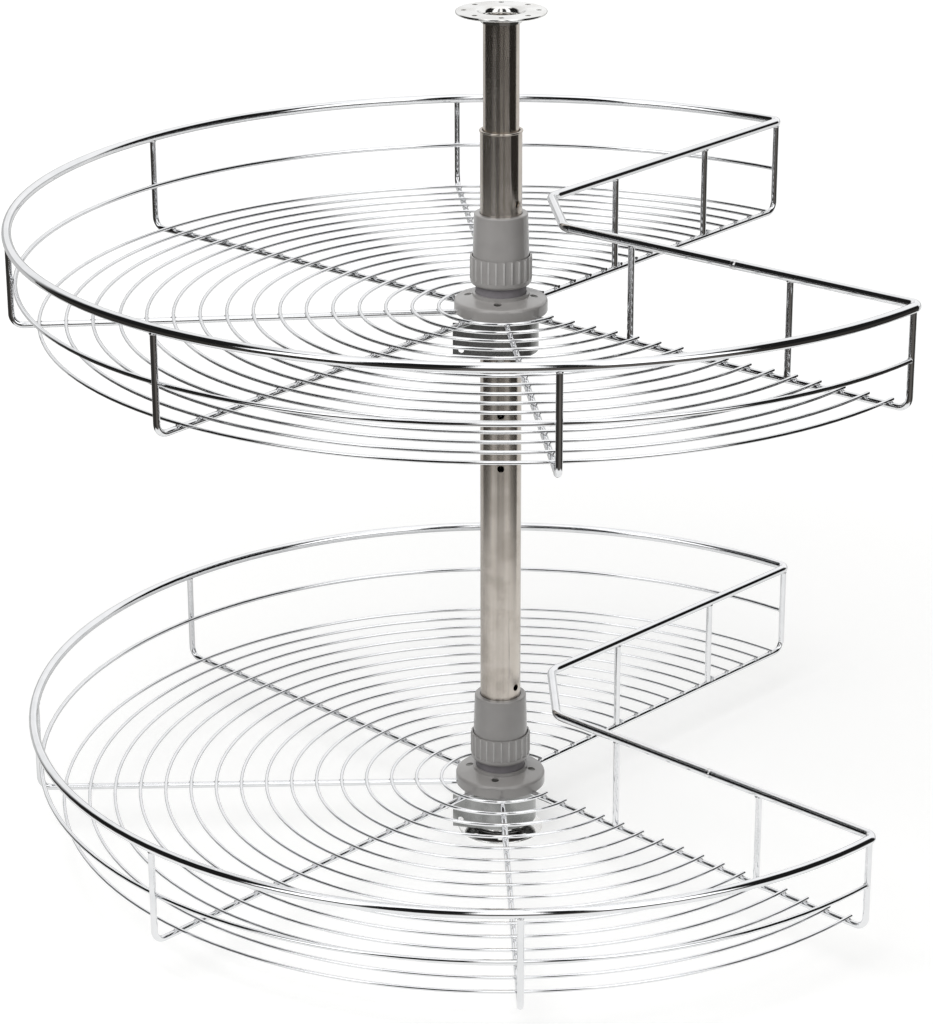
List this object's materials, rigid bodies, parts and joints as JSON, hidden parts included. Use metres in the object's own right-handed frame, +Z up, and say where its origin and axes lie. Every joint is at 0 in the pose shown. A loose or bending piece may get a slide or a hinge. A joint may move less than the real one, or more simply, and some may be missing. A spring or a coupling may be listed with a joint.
{
  "type": "revolving corner cabinet carousel",
  "caption": "Two three-quarter round chromed wire baskets that turn on a telescopic pole with floor and top plates, for a corner kitchen cabinet.",
  "frame": {"origin": "on the floor, at the pole's axis, at the centre of the base plate's screw circle on its underside", "axes": "+Z up along the pole; the baskets' cut-outs face about +X; -Y is towards the viewer of the picture"},
  "size_m": [0.7258, 0.82, 0.734],
  "materials": {
    "chrome_wire": "bright plated",
    "chrome_plate": "bright plated",
    "polished_tube": "polished",
    "warm_grey_plastic": "fine matt",
    "dark_plastic": "matt",
    "white_plastic": "matt",
    "bearing_steel": "ground",
    "zinc_steel": "zinc plated",
    "satin_steel": "satin"
  },
  "bodies": {
    "post": {"base_plate": "chrome_plate", "outer_tube": "polished_tube", "mouth_bush": "dark_plastic"},
    "telescope": {"inner_tube": "polished_tube", "top_plate": "chrome_plate", "guide_bush": "white_plastic"},
    "upper_clamp": {"upper_collet": "dark_plastic", "upper_clamp_sleeve": "warm_grey_plastic", "upper_race_ring": "bearing_steel", "upper_snap_ring": "zinc_steel", "upper_ball_cage": "dark_plastic", "upper_balls": "bearing_steel"},
    "upper_washer": {"upper_thrust_washer": "white_plastic"},
    "upper_nut": {"upper_clamp_nut": "warm_grey_plastic"},
    "upper_basket": {"upper_rim": "chrome_wire", "upper_mid_rail": "chrome_wire", "upper_radial_wires": "chrome_wire", "upper_floor_rings": "chrome_wire", "upper_gate_uprights": "chrome_wire", "upper_drum": "satin_steel", "upper_hub_flange": "warm_grey_plastic", "upper_hub_screws": "zinc_steel", "upper_bearing_ring": "dark_plastic"},
    "lower_clamp": {"lower_collet": "dark_plastic", "lower_clamp_sleeve": "warm_grey_plastic", "lower_race_ring": "bearing_steel", "lower_snap_ring": "zinc_steel", "lower_ball_cage": "dark_plastic", "lower_balls": "bearing_steel"},
    "lower_washer": {"lower_thrust_washer": "white_plastic"},
    "lower_nut": {"lower_clamp_nut": "warm_grey_plastic"},
    "lower_basket": {"lower_rim": "chrome_wire", "lower_mid_rail": "chrome_wire", "lower_radial_wires": "chrome_wire", "lower_floor_rings": "chrome_wire", "lower_gate_uprights": "chrome_wire", "lower_drum": "satin_steel", "lower_hub_flange": "warm_grey_plastic", "lower_hub_screws": "zinc_steel", "lower_bearing_ring": "dark_plastic"}
  },
  "joints": [
    {"name": "telescope_slide", "type": "slide", "parent": "post", "child": "telescope", "axis": [0, 0, 1], "range_m": [-0.08, 0.046]},
    {"name": "upper_clamp_slide", "type": "slide", "parent": "post", "child": "upper_clamp", "axis": [0, 0, 1], "range_m": [-0.15, 0.06]},
    {"name": "upper_basket_turn", "type": "hinge", "parent": "upper_clamp", "child": "upper_basket", "pos_m": [0, 0, 0.48], "axis": [0, 0, 1], "continuous": true},
    {"name": "upper_washer_slide", "type": "slide", "parent": "upper_clamp", "child": "upper_washer", "axis": [0, 0, 1], "range_m": [-0.0062, 0]},
    {"name": "upper_nut_turn", "type": "hinge", "parent": "upper_washer", "child": "upper_nut", "pos_m": [0, 0, 0.51], "axis": [0, 0, 1], "range_deg": [-180, 0]},
    {"name": "lower_clamp_slide", "type": "slide", "parent": "post", "child": "lower_clamp", "axis": [0, 0, 1], "range_m": [0, 0.15]},
    {"name": "lower_basket_turn", "type": "hinge", "parent": "lower_clamp", "child": "lower_basket", "pos_m": [0, 0, 0.045], "axis": [0, 0, 1], "continuous": true},
    {"name": "lower_washer_slide", "type": "slide", "parent": "lower_clamp", "child": "lower_washer", "axis": [0, 0, 1], "range_m": [-0.0062, 0]},
    {"name": "lower_nut_turn", "type": "hinge", "parent": "lower_washer", "child": "lower_nut", "pos_m": [0, 0, 0.075], "axis": [0, 0, 1], "range_deg": [-180, 0]}
  ],
  "couplings": [
    {"joint": "upper_washer_slide", "follows": "upper_nut_turn", "m_per_rad": 0.0019099},
    {"joint": "lower_washer_slide", "follows": "lower_nut_turn", "m_per_rad": 0.0019099}
  ]
}
